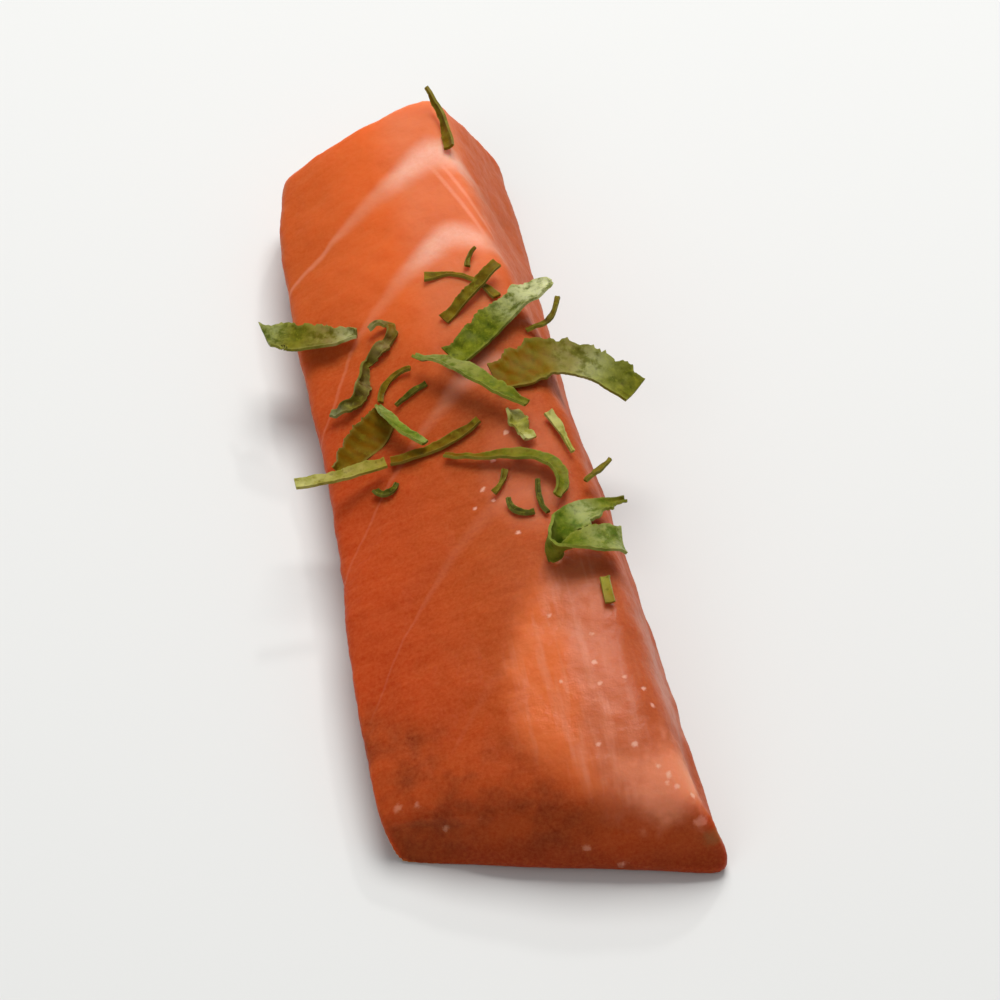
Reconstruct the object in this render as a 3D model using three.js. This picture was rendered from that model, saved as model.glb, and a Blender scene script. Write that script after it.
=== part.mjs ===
// One slice of salmon sashimi with the shreds of green leaf that lie on it.
//
// Millimetres, +Z up. The slice lies flat along Y: its near end is at -Y and its far end at +Y.
// The origin is on the flat underside, below the middle of the slice.
// The slice is a wedge across its width. It has a low shoulder on the left, a ridge right of the
// middle and a steep side below the ridge on the right. Between the shoulder and the ridge lies
// the broad cut face, and it slopes down to a soft, thin lip at the near end.

import * as THREE from "three";

const { degToRad, lerp, smoothstep } = THREE.MathUtils;

// Driving dimensions of the slice, in millimetres.
const sliceLength = 65.2;
const sliceMiddle = -0.3;
const ridge = {
  x: 5.9, nearSpread: 1.3, farDrift: 3.1, nearFlick: 1.2, height: 10.1, droop: 4.4, farDip: 0.2,
};
const shoulder = { x: -9.2, nearSpread: 1.6, pull: 1.4, height: 4.5, lip: 2.2, farRise: 0.6 };
const side = { x: 7.4, nearSpread: 2.3, flare: 0.5, height: 3.2, nearDip: 1 };
const crest = { near: 1.5, far: 0.5, drop: 0.35 };
const foot = { nearLeft: -9.4, farLeft: -7.9, nearRight: 10.9, farRight: 8.1, waist: 0.6 };
const footSweep = { near: 4.9, far: 2.6 };
const bulge = { left: 0.5, right: 0.8 };
const crown = 0.5;
const handWave = 0.22;

// How far a change at either end reaches along the slice, in millimetres.
const cornerReach = 1.9;
const flickReach = 3.2;
const endReach = 3.8;
const lipReach = 6.3;
const droopReach = 9;

// The cut ends lean in towards their tops and sweep back away from the ridge, in millimetres over
// the width of the broad face.
const faceWidth = 14;
const nearCut = { lean: 0.5, sweep: 3.4, power: 2 };
const farCut = { lean: 0.04, sweep: 2.9, power: 2 };

// Where the cage has its corners: rows from the near end, 0, to the far end, 1, layers from the
// underside up, and columns across the broad face and across the underside.
const rows = [0, 0.03, 0.1, 0.24, 0.4, 0.56, 0.72, 0.87, 0.985, 1];
const layers = [0, 0.2, 0.84, 1];
const faceStops = [0, 0.15, 0.6, 1];
const footStops = [0, 0.1, 0.36, 0.68, 0.86, 1];
const columnCount = footStops.length - 1;
const smoothingRounds = 2;

// The slice seen from above: three lines along it, as functions of t, the place along its length.
const nearEnd = (t, reach) => Math.exp((-t * sliceLength) / reach);
const farEnd = (t, reach) => nearEnd(1 - t, reach);
const wave = (t, count, phase) => handWave * Math.sin(2 * Math.PI * (count * t + phase));

function shoulderLine(t) {
  const spread = shoulder.nearSpread * (1 - smoothstep(t, 0.15, 0.5));
  const pull = shoulder.pull * (nearEnd(t, cornerReach) + farEnd(t, cornerReach));
  return shoulder.x - spread + pull + wave(t, 2.3, 0.1);
}
function ridgeLine(t) {
  const spread = ridge.nearSpread * (1 - smoothstep(t, 0.05, 0.55));
  const drift = ridge.farDrift * smoothstep(t, 0.62, 0.97);
  return ridge.x + spread - drift + ridge.nearFlick * nearEnd(t, flickReach) + wave(t, 1.7, 0.6);
}
function sideLine(t) {
  const spread = side.nearSpread * (1 - smoothstep(t, 0.15, 0.72));
  return side.x + spread + side.flare * nearEnd(t, cornerReach) + wave(t, 3.1, 0.3);
}

// The same three lines seen from the side.
const shoulderTop = (t) =>
  shoulder.height + shoulder.farRise * smoothstep(t, 0.7, 1) - shoulder.lip * nearEnd(t, lipReach);
const ridgeTop = (t) =>
  ridge.height - ridge.droop * nearEnd(t, droopReach) - ridge.farDip * smoothstep(t, 0.75, 1);
const sideTop = (t) => side.height - side.nearDip * nearEnd(t, lipReach);

// The upper line of the cross-section: the broad face, the crest of the ridge and the steep side.
function upperCorner(column, t) {
  const crestHalf = lerp(crest.near, crest.far, smoothstep(t, 0.4, 0.9));
  if (column === columnCount) return [sideLine(t), sideTop(t)];
  if (column === columnCount - 1) return [ridgeLine(t) + crestHalf, ridgeTop(t) - crest.drop];
  const across = faceStops[column];
  const x = lerp(shoulderLine(t), ridgeLine(t) - crestHalf, across);
  return [x, lerp(shoulderTop(t), ridgeTop(t), across) + 4 * crown * across * (1 - across)];
}

// How far the cuts at the two ends run in. The foot stands on its four corners, so between them
// its edges are drawn in a little.
const arch = (share) => 4 * share * (1 - share);
function endShifts(column, t, x, z) {
  if (z === 0) {
    const across = 1 - footStops[column];
    const hollow = foot.waist * arch(across);
    return [footSweep.near * across + hollow, footSweep.far * across + hollow];
  }
  const fromRidge = Math.max(0, (ridgeLine(t) - x) / faceWidth);
  const near = nearCut.lean * z + nearCut.sweep * fromRidge ** nearCut.power;
  return [near, farCut.lean * z + farCut.sweep * fromRidge ** farCut.power];
}

// One corner of the cage, by its column from the left, its row and its layer.
function cageCorner(column, row, layer) {
  const t = rows[row];
  const up = layers[layer];
  const [upperX, upperZ] = upperCorner(column, t);
  const footLeft = lerp(foot.nearLeft, foot.farLeft, t) + foot.waist * arch(t);
  const footRight = lerp(foot.nearRight, foot.farRight, t) - foot.waist * arch(t);
  const lowerX = lerp(footLeft, footRight, footStops[column]);
  const swell = arch(up);
  const outward = column === 0 ? -bulge.left * swell : column === columnCount ? bulge.right * swell : 0;
  const x = lerp(lowerX, upperX, up) + outward;
  const z = upperZ * up;
  const [nearShift, farShift] = endShifts(column, t, x, z);
  const straight = sliceMiddle + (t - 0.5) * sliceLength;
  const y = straight + nearShift * nearEnd(t, endReach) - farShift * farEnd(t, endReach);
  return new THREE.Vector3(x, y, z);
}

// The cage is a box of cells with only its outer faces kept, each with four corners in order.
function boxCage(countX, countY, countZ, corner) {
  const points = [];
  const numbers = new Map();
  const at = (i, j, k) => {
    const key = `${i},${j},${k}`;
    if (!numbers.has(key)) {
      numbers.set(key, points.length);
      points.push(corner(i, j, k));
    }
    return numbers.get(key);
  };
  const faces = [];
  for (let i = 0; i < countX; i++) {
    for (let j = 0; j < countY; j++) {
      faces.push([at(i, j, 0), at(i, j + 1, 0), at(i + 1, j + 1, 0), at(i + 1, j, 0)]);
      faces.push([at(i, j, countZ), at(i + 1, j, countZ), at(i + 1, j + 1, countZ), at(i, j + 1, countZ)]);
    }
    for (let k = 0; k < countZ; k++) {
      faces.push([at(i, 0, k), at(i + 1, 0, k), at(i + 1, 0, k + 1), at(i, 0, k + 1)]);
      faces.push([at(i, countY, k), at(i, countY, k + 1), at(i + 1, countY, k + 1), at(i + 1, countY, k)]);
    }
  }
  for (let j = 0; j < countY; j++) {
    for (let k = 0; k < countZ; k++) {
      faces.push([at(0, j, k), at(0, j, k + 1), at(0, j + 1, k + 1), at(0, j + 1, k)]);
      faces.push([at(countX, j, k), at(countX, j + 1, k), at(countX, j + 1, k + 1), at(countX, j, k + 1)]);
    }
  }
  return { points, faces };
}

const edgeKey = (a, b) => (a < b ? `${a},${b}` : `${b},${a}`);

// What each point touches: the points at the other ends of its edges, and its faces' far corners.
function neighbours({ points, faces }) {
  const around = points.map(() => ({ ends: new Set(), across: [] }));
  for (const face of faces) {
    face.forEach((point, n) => {
      around[point].ends.add(face[(n + 1) % 4]).add(face[(n + 3) % 4]);
      around[point].across.push(face[(n + 2) % 4]);
    });
  }
  return around;
}

const sum = (points, numbers) => {
  const total = new THREE.Vector3();
  for (const number of numbers) total.add(points[number]);
  return total;
};

// One round of Catmull-Clark smoothing: each face becomes four.
function smooth(cage) {
  const { points, faces } = cage;
  const around = neighbours(cage);
  const moved = points.map((point, n) => {
    const { ends, across } = around[n];
    const count = ends.size;
    const share = 1 / (4 * count * count);
    return point.clone().multiplyScalar(1 - 7 / (4 * count))
      .addScaledVector(sum(points, ends), 6 * share)
      .addScaledVector(sum(points, across), share);
  });
  const centres = faces.map((face) => sum(points, face).multiplyScalar(0.25));
  const edges = new Map();
  faces.forEach((face, number) => {
    face.forEach((point, n) => {
      const next = face[(n + 1) % 4];
      const key = edgeKey(point, next);
      if (!edges.has(key)) edges.set(key, { middle: points[point].clone().add(points[next]) });
      edges.get(key).middle.add(centres[number]);
    });
  });
  for (const edge of edges.values()) {
    edge.number = moved.length;
    moved.push(edge.middle.multiplyScalar(0.25));
  }
  const quarters = [];
  faces.forEach((face, number) => {
    const centre = moved.length;
    moved.push(centres[number]);
    face.forEach((point, n) => {
      const after = edges.get(edgeKey(point, face[(n + 1) % 4])).number;
      const before = edges.get(edgeKey(face[(n + 3) % 4], point)).number;
      quarters.push([point, after, centre, before]);
    });
  });
  return { points: moved, faces: quarters };
}

// The points are pushed on to the surface that endless smoothing would reach.
function settle(cage) {
  const around = neighbours(cage);
  const points = cage.points.map((point, n) => {
    const { ends, across } = around[n];
    const count = ends.size;
    return point.clone().multiplyScalar(count * count)
      .addScaledVector(sum(cage.points, ends), 4)
      .add(sum(cage.points, across))
      .divideScalar(count * (count + 5));
  });
  return { points, faces: cage.faces };
}

function solidOf({ points, faces }) {
  const numbers = points.flatMap((point) => point.toArray());
  const geometry = new THREE.BufferGeometry();
  geometry.setAttribute("position", new THREE.Float32BufferAttribute(numbers, 3));
  geometry.setIndex(faces.flatMap(([a, b, c, d]) => [a, b, c, a, c, d]));
  geometry.computeVertexNormals();
  return geometry;
}

function makeSlice() {
  let cage = boxCage(columnCount, rows.length - 1, layers.length - 1, cageCorner);
  for (let round = 0; round < smoothingRounds; round++) cage = smooth(cage);
  const mesh = new THREE.Mesh(solidOf(settle(cage)), flesh);
  mesh.name = "slice";
  return mesh;
}

// The shreds of leaf, in millimetres and degrees. Each starts at a place on the slice seen from
// above and heads off at an angle from +X. It takes its turns one after another, each over an
// equal share of its length. Lift is how far it stands above the flesh from start to end, roll is
// how far it is tipped over, and taper is how much of the width is left. Droop is how steeply it
// can bend down, and one that is crinkled has so many waves of that height.
const leafThickness = 0.3;
const shreds = {
  flap_left: {
    start: [-11.5, 14.6], heading: -30, length: 6.5, turns: [8, 16], width: 2.7,
    lift: [0.5, 0.5, 0.6], roll: [8, 0, -6], taper: [1, 0.95, 0.75, 0.35], droop: 0.2, leaf: "green",
  },
  crinkled: {
    start: [-4.6, 11.9], heading: 40, length: 10, turns: [-100, -85, -5, 50, -10, -65, -40], width: 0.9,
    lift: [0.9, 0.8, 0.9], roll: [30, -20, 30, 0, 20], taper: [0.5, 0.6, 1, 0.6, 1.1, 1, 0.5],
    crinkle: 0.2, waves: 6, leaf: "dark",
  },
  stick: {
    start: [0.3, 10.5], heading: 31, length: 5, turns: [3, 3], width: 0.85,
    lift: [0.5, 1, 1.4], roll: [0, 0], taper: [1, 0.95, 1], droop: 0.3, leaf: "brown",
  },
  stem: {
    start: [-0.3, 14.8], heading: -6, length: 6.1, turns: [-14, -26, -16, 0], width: 0.45,
    lift: [0.5, 0.45, 0.45, 0.45], roll: [0, 0], taper: [1.8, 0.8, 0.8, 1, 1.4], droop: 0.3, leaf: "brown",
  },
  twig: {
    start: [2.6, 14.4], heading: 80, length: 1.6, turns: [-20, -20], width: 0.35,
    lift: [0.6, 0.8], roll: [0, 0], taper: [1.2, 0.8, 0.6], leaf: "brown",
  },
  band_pale: {
    start: [0.2, 6.4], heading: 33, length: 8.4, turns: [0, -4, -8, -14], width: 2.25,
    lift: [0.4, 0.8, 1.2, 1.7, 2.4], roll: [0, 4, 10, 16], taper: [0.85, 1, 1, 0.95, 0.75], droop: 0.1,
    leaf: "green",
  },
  curl_pale: {
    start: [8, 9.9], heading: -108, length: 3.8, turns: [-10, -36, -20], width: 0.38,
    lift: [1.3, 0.9, 0.6], roll: [0, 0], taper: [0.8, 1, 0.7], droop: 0.1, leaf: "brown",
  },
  strip_long: {
    start: [-2.3, 7.5], heading: -42, length: 9.8, turns: [-6, -6, 2, 6], width: 1.35,
    lift: [0.6, 1.4, 1.6, 1.6, 1.6], roll: [20, 0, -10], taper: [0.35, 0.8, 1, 0.9, 0.45], droop: 0.1,
    leaf: "bright",
  },
  leaf_dark: {
    start: [2.6, 3.6], heading: 8, length: 10.2, turns: [14, -20, -26, -20, 0], width: 2.5,
    lift: [0.5, 0.6, 0.9, 1, 0.9], roll: [0, -6, -10, 0], taper: [0.8, 1.3, 1.05, 0.95, 0.9], droop: 0.2,
    leaf: "green",
  },
  loop_thin: {
    start: [-4.9, 5.7], heading: 84, length: 3.3, turns: [-44, -60], width: 0.42,
    lift: [0.5, 0.6, 0.7], roll: [0, 0], taper: [0.8, 1, 0.8], leaf: "brown",
  },
  loop_short: {
    start: [-4, 4.9], heading: 34, length: 2.4, turns: [-14, -10], width: 0.42,
    lift: [0.5, 0.45], roll: [0, 0], taper: [0.6, 1, 0.9], leaf: "dark",
  },
  leaf_brown: {
    start: [-8.6, 1.6], heading: 30, length: 4.7, turns: [4, 8], width: 2.5,
    lift: [0.5, 0.5, 0.5], roll: [0, 0], taper: [0.25, 0.8, 1, 0.7], leaf: "brown",
  },
  strip_green: {
    start: [-5.2, 4.9], heading: -74, length: 5.4, turns: [6, 8, 8], width: 1,
    lift: [1.1, 1.3, 1.2, 1.1], roll: [0, 10, 0], taper: [0.5, 1, 1, 0.6], leaf: "bright",
  },
  strip_straight: {
    start: [-11.7, -0.6], heading: 2, length: 6.2, turns: [2, 4], width: 0.9,
    lift: [1.4, 1.2, 1.1], roll: [0, 0], taper: [1, 1, 1, 0.9], droop: 0.1, leaf: "pale",
  },
  strip_brown: {
    start: [-5.1, 0.3], heading: -8, length: 6.2, turns: [4, 14, 20], width: 0.8,
    lift: [0.5, 0.45, 0.5], roll: [0, 0], taper: [0.9, 1, 1, 0.6], leaf: "brown",
  },
  loop_small: {
    start: [-6.5, -1.5], heading: -70, length: 1.9, turns: [60, 80], width: 0.5,
    lift: [0.5, 0.5], roll: [0, 0], taper: [1, 1, 0.6], leaf: "dark",
  },
  strip_arc: {
    start: [-1.7, -1], heading: -32, length: 10.7, turns: [2, 6, -2, -18, -44, -44], width: 1,
    lift: [0.5, 0.6, 0.8, 0.9, 0.9, 1], roll: [0, 0, 10, 20], taper: [0.4, 0.5, 0.8, 1.05, 1.1, 0.9, 0.6],
    droop: 0.3, leaf: "bright",
  },
  bits_pale: {
    start: [3, 0.5], heading: -66, length: 3, turns: [-14, 10], width: 1.3,
    lift: [0.8, 0.8], roll: [20, -30, 10], taper: [0.6, 1, 0.6, 0.8], crinkle: 0.15, waves: 2.5,
    leaf: "pale",
  },
  strip_pale: {
    start: [5.4, -0.3], heading: -64, length: 3.7, turns: [-10, -6, 0], width: 0.6,
    lift: [0.7, 0.7], roll: [0, 0], taper: [1, 0.9, 0.5, 0.35], leaf: "pale",
  },
  fold: {
    start: [9, -8.2], heading: 195, length: 12.6, turns: [4, 8, 4, 8, 30, 122, -6, -2, 0], width: 2.1,
    lift: [0.8, 0.8, 0.8, 0.9, 1.2, 1.5, 1.7, 1.6, 1.3], roll: [0, 0, 0, 20, 70, 84, 20, 0, -6],
    taper: [0.2, 0.5, 1, 1, 0.85, 0.85, 1.05, 1.1, 1.05], droop: 0.2, leaf: "bright",
  },
  stub: {
    start: [6.4, -14.6], heading: -92, length: 2, turns: [0, 2], width: 0.7,
    lift: [0.6, 0.6], roll: [0, 0], taper: [1, 1], leaf: "pale",
  },
  stick_dark: {
    start: [6.7, -6.6], heading: 42, length: 2.6, turns: [-4, 6], width: 0.42,
    lift: [0.8, 1, 1.2], roll: [0, 0], taper: [0.7, 1, 0.6], droop: 0.1, leaf: "brown",
  },
  strand_dark: {
    start: [3.7, -5.6], heading: -100, length: 2.9, turns: [8, 30], width: 0.36,
    lift: [0.5, 0.5], roll: [0, 0], taper: [0.8, 1, 0.8], leaf: "dark",
  },
  curl_tiny: {
    start: [1.6, -6.4], heading: -95, length: 2.5, turns: [40, 66], width: 0.5,
    lift: [0.5, 0.5], roll: [0, 0], taper: [0.6, 1, 0.8], leaf: "dark",
  },
  stem_tiny: {
    start: [1.8, -4], heading: -104, length: 1.9, turns: [-18, -30], width: 0.38,
    lift: [0.5, 0.5], roll: [0, 0], taper: [1, 0.8, 1], leaf: "brown",
  },
  shred_tip: {
    start: [3.4, 26], heading: 85, length: 5.4, turns: [4, 14, 12], width: 0.85,
    lift: [0.6, 0.6, 1, 1.7], roll: [0, 20, 40], taper: [1, 0.9, 0.6, 0.3], droop: 0.1, leaf: "brown",
  },
};

// A value that eases through stops spread evenly over a shred's length, s from 0 to 1.
function along(stops, s) {
  const place = s * (stops.length - 1);
  const from = Math.min(Math.floor(place), stops.length - 2);
  return lerp(stops[from], stops[from + 1], smoothstep(place - from, 0, 1));
}

// The surface of the slice straight below a place, with the way that it faces.
function groundUnder(slice) {
  slice.updateMatrixWorld();
  const caster = new THREE.Raycaster();
  const down = new THREE.Vector3(0, 0, -1);
  return (x, y) => {
    caster.set(new THREE.Vector3(x, y, 2 * ridge.height), down);
    const hit = caster.intersectObject(slice)[0];
    return hit ? { height: hit.point.z, facing: hit.face.normal.clone() } : null;
  };
}

// The middle line of a shred: it lies on the flesh, or bridges a dip where it can't bend down, and
// it turns level where it hangs clear by more than the loose gap.
const looseGap = 1;
const easingRounds = 3;
const steepest = 0.5;
const upward = new THREE.Vector3(0, 0, 1);
const limp = 1.2;
function middleLine(shape, steps, ground) {
  const { heading, turns, lift, droop = limp, crinkle = 0, waves = 0 } = shape;
  const step = shape.length / steps;
  const places = [];
  let [x, y] = shape.start;
  for (let n = 0; n <= steps; n++) {
    places.push({ x, y, under: ground(x, y) });
    const turned = turns.reduce((total, turn, part) => {
      const share = THREE.MathUtils.clamp(((n + 0.5) / steps) * turns.length - part, 0, 1);
      return total + turn * share;
    }, heading);
    x += step * Math.cos(degToRad(turned));
    y += step * Math.sin(degToRad(turned));
  }
  const line = places.map((place, n) => {
    const s = n / steps;
    const held = places.map(({ under }, m) => (under ? under.height - droop * step * Math.abs(n - m) : 0));
    const rest = Math.max(...held);
    const clear = place.under ? smoothstep(rest - place.under.height, 0, looseGap) : 1;
    const facing = (place.under ? place.under.facing : upward).clone().lerp(upward, clear);
    const ripple = crinkle * Math.sin(2 * Math.PI * waves * s);
    const z = rest + along(lift, s) / Math.max(steepest, facing.z) + ripple;
    return { s, point: new THREE.Vector3(place.x, place.y, z), facing };
  });
  for (let round = 0; round < easingRounds; round++) {
    const eased = line.map(({ facing }, n) => {
      const [before, after] = [line[Math.max(0, n - 1)], line[Math.min(steps, n + 1)]];
      return facing.clone().add(before.facing).add(after.facing).normalize();
    });
    line.forEach((place, n) => place.facing.copy(eased[n]));
  }
  return line;
}

// A shred is a thin strip: an upper and a lower grid of points a leaf's thickness apart, closed
// round the rim, with both grids split into triangles alike. A wide one has three points across
// and a narrow one two.
const narrow = 1.1;
const wideStep = 0.75;
const narrowStep = 0.6;
const fewestSteps = 6;
function makeShred(name, shape, ground) {
  const wide = shape.width > narrow;
  const steps = Math.max(fewestSteps, Math.round(shape.length / (wide ? wideStep : narrowStep)));
  const across = wide ? 2 : 1;
  const line = middleLine(shape, steps, ground);
  const vertices = [];
  for (const rise of [0.5, -0.5]) {
    line.forEach(({ s, point, facing }, n) => {
      const before = line[Math.max(0, n - 1)].point;
      const after = line[Math.min(steps, n + 1)].point;
      const ahead = after.clone().sub(before).normalize();
      const tip = degToRad(along(shape.roll, s));
      const left = facing.clone().cross(ahead).normalize().applyAxisAngle(ahead, tip);
      const up = ahead.clone().cross(left);
      const half = 0.5 * shape.width * along(shape.taper, s);
      for (let m = 0; m <= across; m++) {
        const place = (2 * m) / across - 1;
        const vertex = point.clone().addScaledVector(left, half * place);
        vertices.push(vertex.addScaledVector(up, rise * leafThickness));
      }
    });
  }
  const at = (lower, n, m) => (lower * (steps + 1) + n) * (across + 1) + m;
  const faces = [];
  for (let n = 0; n < steps; n++) {
    for (let m = 0; m < across; m++) {
      faces.push([at(0, n, m), at(0, n + 1, m), at(0, n + 1, m + 1), at(0, n, m + 1)]);
      faces.push([at(1, n, m), at(1, n, m + 1), at(1, n + 1, m + 1), at(1, n + 1, m)]);
    }
    faces.push([at(0, n, 0), at(1, n, 0), at(1, n + 1, 0), at(0, n + 1, 0)]);
    faces.push([at(0, n, across), at(0, n + 1, across), at(1, n + 1, across), at(1, n, across)]);
  }
  for (let m = 0; m < across; m++) {
    faces.push([at(0, 0, m), at(0, 0, m + 1), at(1, 0, m + 1), at(1, 0, m)]);
    faces.push([at(0, steps, m), at(1, steps, m), at(1, steps, m + 1), at(0, steps, m + 1)]);
  }
  const mesh = new THREE.Mesh(solidOf({ points: vertices, faces }), leaves[shape.leaf]);
  mesh.name = name;
  return mesh;
}

const flesh = new THREE.MeshStandardMaterial({ color: "#cf6238", roughness: 0.35, metalness: 0 });
const leafOf = (color) => new THREE.MeshStandardMaterial({ color, roughness: 0.5, metalness: 0 });
const leaves = {
  green: leafOf("#4f7216"),
  bright: leafOf("#6d9023"),
  pale: leafOf("#93a045"),
  dark: leafOf("#3c4f12"),
  brown: leafOf("#6f6220"),
};

const sashimi = new THREE.Group();
const slice = makeSlice();
const ground = groundUnder(slice);
sashimi.add(slice);
for (const [name, shape] of Object.entries(shreds)) sashimi.add(makeShred(name, shape, ground));

export default sashimi;
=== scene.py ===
# One slice of raw salmon, cut for sashimi, with the shreds of green leaf that lie on it.
#
# The slice's shape and the shreds' routes are worked out in millimetres, as they were cut, and
# are made in metres. The near end is at -Y, and the origin is below the middle of the slice.
import math
import random

import bmesh
import bpy
from mathutils import Matrix, Vector
from mathutils.bvhtree import BVHTree


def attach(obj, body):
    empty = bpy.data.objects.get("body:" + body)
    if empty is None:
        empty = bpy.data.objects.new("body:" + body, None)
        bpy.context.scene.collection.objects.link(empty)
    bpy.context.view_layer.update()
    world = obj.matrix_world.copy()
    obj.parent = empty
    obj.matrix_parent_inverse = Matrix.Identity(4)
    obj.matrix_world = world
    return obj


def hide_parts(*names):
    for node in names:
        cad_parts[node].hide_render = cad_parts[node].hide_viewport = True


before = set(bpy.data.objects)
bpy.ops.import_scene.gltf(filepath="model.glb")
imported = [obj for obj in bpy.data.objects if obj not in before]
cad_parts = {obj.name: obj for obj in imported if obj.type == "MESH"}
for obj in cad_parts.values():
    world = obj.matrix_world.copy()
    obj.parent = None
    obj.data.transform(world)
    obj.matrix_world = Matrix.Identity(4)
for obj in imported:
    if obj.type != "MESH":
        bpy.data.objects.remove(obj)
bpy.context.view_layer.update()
MM = 0.001

# The slice's own sizes, in millimetres.
slice_length = 65.2
slice_middle = -0.3
ridge = dict(x=5.9, near_spread=1.3, far_drift=3.1, near_flick=1.2, height=10.1, droop=4.4,
             far_dip=0.2)
shoulder = dict(x=-9.2, near_spread=1.6, pull=1.4, height=4.5, lip=2.2, far_rise=0.6)
side = dict(x=7.4, near_spread=2.3, flare=0.5, height=3.2, near_dip=1)
crest = dict(near=1.5, far=0.5, drop=0.35)
foot = dict(near_left=-9.4, far_left=-7.9, near_right=10.9, far_right=8.1, waist=0.6)
foot_sweep = dict(near=4.9, far=2.6)
bulge = dict(left=0.5, right=0.8)
crown = 0.5
hand_wave = 0.22

# How fast each change dies away from its end of the slice.
corner_reach = 1.9
flick_reach = 3.2
end_reach = 3.8
lip_reach = 6.3
droop_reach = 9

# How the cuts at the ends lean, and how they sweep back over the broad face.
face_width = 14
near_cut = dict(lean=0.5, sweep=3.4, power=2)
far_cut = dict(lean=0.04, sweep=2.9, power=2)

# How each long line waves under the knife: waves to a slice, and where in a wave it starts.
knife_waves = dict(shoulder=(2.3, 0.1), ridge=(1.7, 0.6), side=(3.1, 0.3))

# Where each change of shape starts and ends along the slice, as shares of its length.
near_spreads = dict(shoulder=(0.15, 0.5), ridge=(0.05, 0.55), side=(0.15, 0.72))
ridge_drifts = (0.62, 0.97)
ridge_dips = (0.75, 1)
shoulder_rises = (0.7, 1)
crest_narrows = (0.4, 0.9)

# Where the block is cut into cells, as shares of its length, height and width. The cuts at the
# foot's first stops are pulled to the face's stops above, from the shoulder to the ridge.
block_width = 22
block_height = 10
rows = [0, 0.03, 0.1, 0.24, 0.4, 0.56, 0.72, 0.87, 0.985, 1]
layers = [0, 0.2, 0.84, 1]
face_stops = [0, 0.15, 0.6, 1]
foot_stops = [0, 0.1, 0.36, 0.68, 0.86, 1]
column_count = len(foot_stops) - 1

# The photograph's view: how high, how far left of the slice's length, and from where.
camera_target = Vector((1.7, -2.8, 5.0)) * MM
view_height = math.radians(48)
view_turn = math.radians(-10.5)
view_distance = 300 * MM
view_lens = 162
nearest_seen = 10 * MM


def smoothstep(value, low, high):
    share = min(1, max(0, (value - low) / (high - low)))
    return share * share * (3 - 2 * share)


def lerp(start, end, share):
    return start + (end - start) * share


def arch(share):
    return 4 * share * (1 - share)


def near_end(t, reach):
    return math.exp(-t * slice_length / reach)


def far_end(t, reach):
    return near_end(1 - t, reach)


def wave(t, count, phase):
    return hand_wave * math.sin(2 * math.pi * (count * t + phase))


def shoulder_line(t):
    spread = shoulder["near_spread"] * (1 - smoothstep(t, *near_spreads["shoulder"]))
    pull = shoulder["pull"] * (near_end(t, corner_reach) + far_end(t, corner_reach))
    return shoulder["x"] - spread + pull + wave(t, *knife_waves["shoulder"])


def ridge_line(t):
    spread = ridge["near_spread"] * (1 - smoothstep(t, *near_spreads["ridge"]))
    drift = ridge["far_drift"] * smoothstep(t, *ridge_drifts)
    flick = ridge["near_flick"] * near_end(t, flick_reach)
    return ridge["x"] + spread - drift + flick + wave(t, *knife_waves["ridge"])


def side_line(t):
    spread = side["near_spread"] * (1 - smoothstep(t, *near_spreads["side"]))
    flare = side["flare"] * near_end(t, corner_reach)
    return side["x"] + spread + flare + wave(t, *knife_waves["side"])


def shoulder_top(t):
    rise = shoulder["far_rise"] * smoothstep(t, *shoulder_rises)
    return shoulder["height"] + rise - shoulder["lip"] * near_end(t, lip_reach)


def ridge_top(t):
    dip = ridge["far_dip"] * smoothstep(t, *ridge_dips)
    return ridge["height"] - ridge["droop"] * near_end(t, droop_reach) - dip


def side_top(t):
    return side["height"] - side["near_dip"] * near_end(t, lip_reach)


def upper_corner(column, t):
    """The upper line of the cross-section: the broad face, the crest and the steep side."""
    crest_half = lerp(crest["near"], crest["far"], smoothstep(t, *crest_narrows))
    if column == column_count:
        return side_line(t), side_top(t)
    if column == column_count - 1:
        return ridge_line(t) + crest_half, ridge_top(t) - crest["drop"]
    across = face_stops[column]
    height = lerp(shoulder_top(t), ridge_top(t), across) + crown * arch(across)
    return lerp(shoulder_line(t), ridge_line(t) - crest_half, across), height


def end_shifts(column, t, x, z):
    """How far the cuts at the two ends run in. The foot stands on its four corners."""
    if z == 0:
        across = 1 - foot_stops[column]
        hollow = foot["waist"] * arch(across)
        return foot_sweep["near"] * across + hollow, foot_sweep["far"] * across + hollow
    from_ridge = max(0, (ridge_line(t) - x) / face_width)
    near = near_cut["lean"] * z + near_cut["sweep"] * from_ridge ** near_cut["power"]
    return near, far_cut["lean"] * z + far_cut["sweep"] * from_ridge ** far_cut["power"]


def slice_corner(column, row, layer):
    """Where one corner of the blocked-out slice belongs, in metres."""
    t, up = rows[row], layers[layer]
    upper_x, upper_z = upper_corner(column, t)
    foot_left = lerp(foot["near_left"], foot["far_left"], t) + foot["waist"] * arch(t)
    foot_right = lerp(foot["near_right"], foot["far_right"], t) - foot["waist"] * arch(t)
    lower_x = lerp(foot_left, foot_right, foot_stops[column])
    swell = arch(up)
    outward = {0: -bulge["left"] * swell, column_count: bulge["right"] * swell}.get(column, 0)
    x = lerp(lower_x, upper_x, up) + outward
    z = upper_z * up
    near_shift, far_shift = end_shifts(column, t, x, z)
    y = slice_middle + (t - 0.5) * slice_length
    y += near_shift * near_end(t, end_reach) - far_shift * far_end(t, end_reach)
    return Vector((x, y, z)) * MM


# Working by hand in edit mode.


def only(piece):
    """Selects one piece and nothing else."""
    bpy.ops.object.select_all(action="DESELECT")
    piece.select_set(True)
    bpy.context.view_layer.objects.active = piece


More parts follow.
